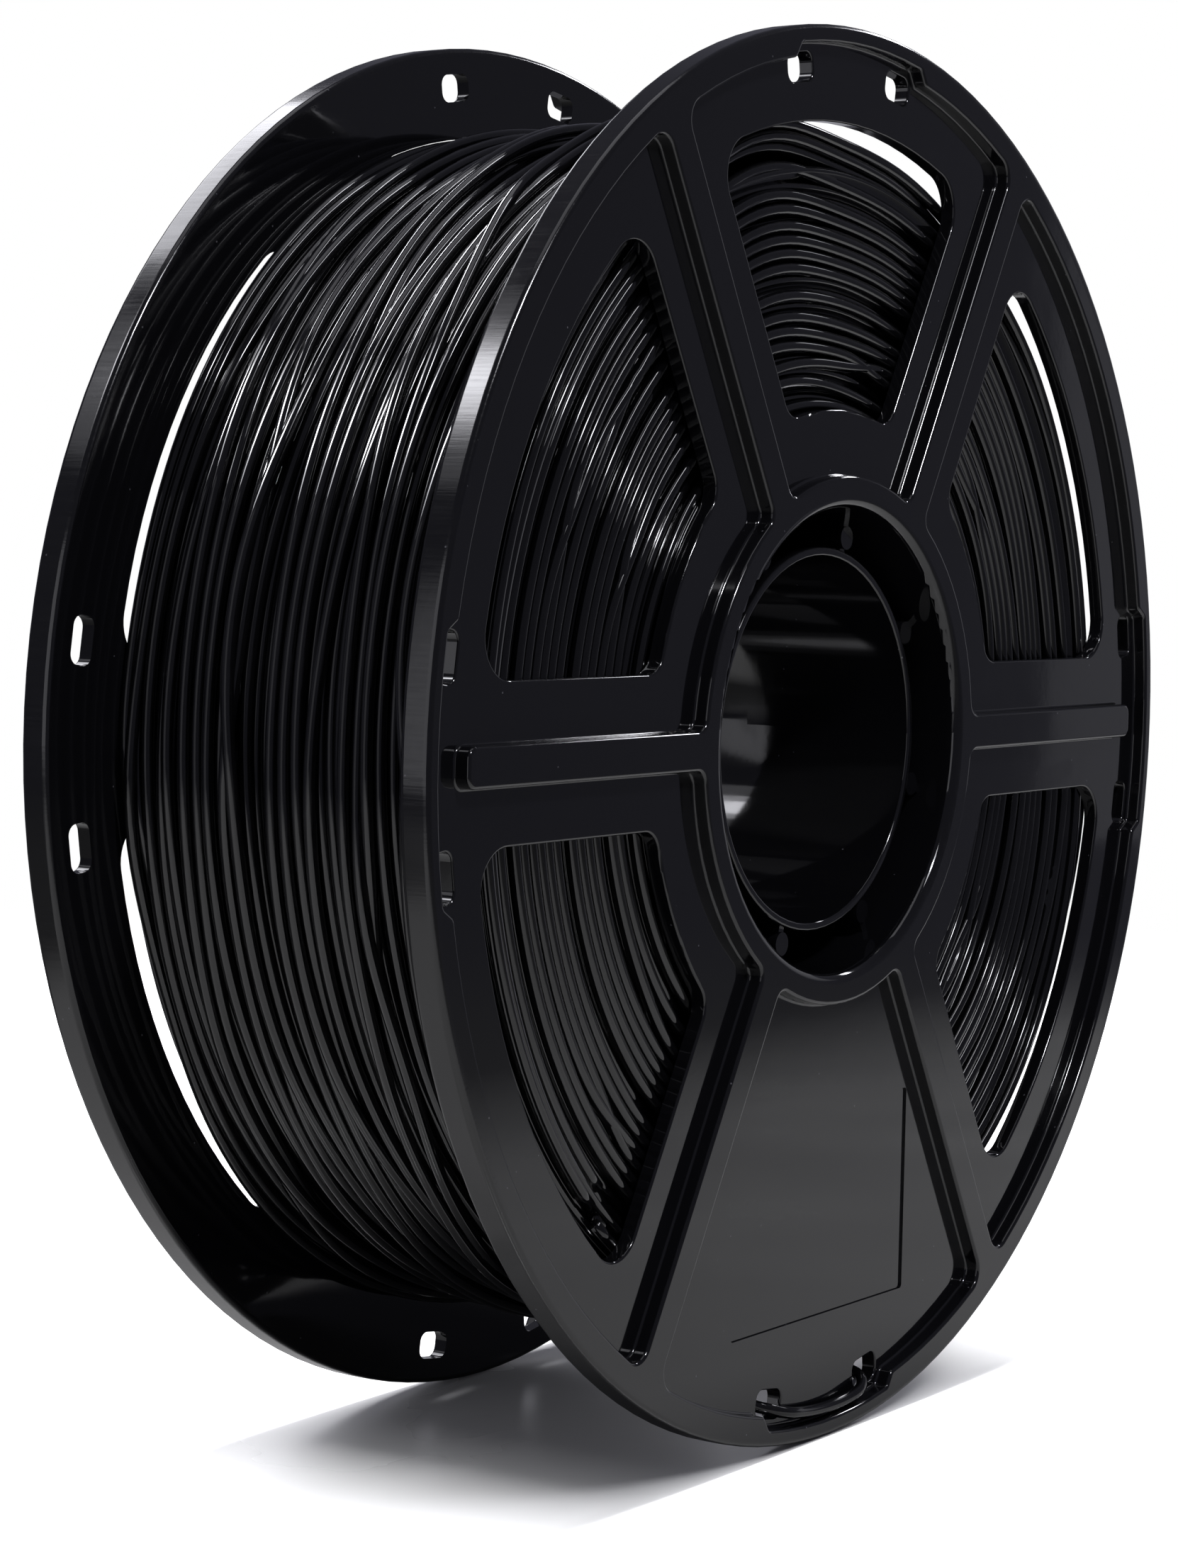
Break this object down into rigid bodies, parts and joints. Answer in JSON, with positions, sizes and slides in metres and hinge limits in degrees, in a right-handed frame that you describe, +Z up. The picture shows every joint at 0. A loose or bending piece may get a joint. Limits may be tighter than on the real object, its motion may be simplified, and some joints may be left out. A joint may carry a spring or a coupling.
{
  "type": "filament spool",
  "caption": "Full spool of black filament: two flanges with ribs and windows on a barrel with an open spindle tube, for a 3-D printer.",
  "frame": {"origin": "centre of the spindle tube, midway between the two flanges", "axes": "+Y along the spindle tube from the front flange to the rear flange, +Z up through the top window"},
  "size_m": [0.2, 0.0656, 0.2],
  "materials": {
    "spool_plastic": "gloss",
    "filament": "gloss"
  },
  "bodies": {
    "root": {"front_half": "spool_plastic", "rear_half": "spool_plastic", "filament_winding": "filament", "filament_end": "filament"}
  },
  "joints": []
}
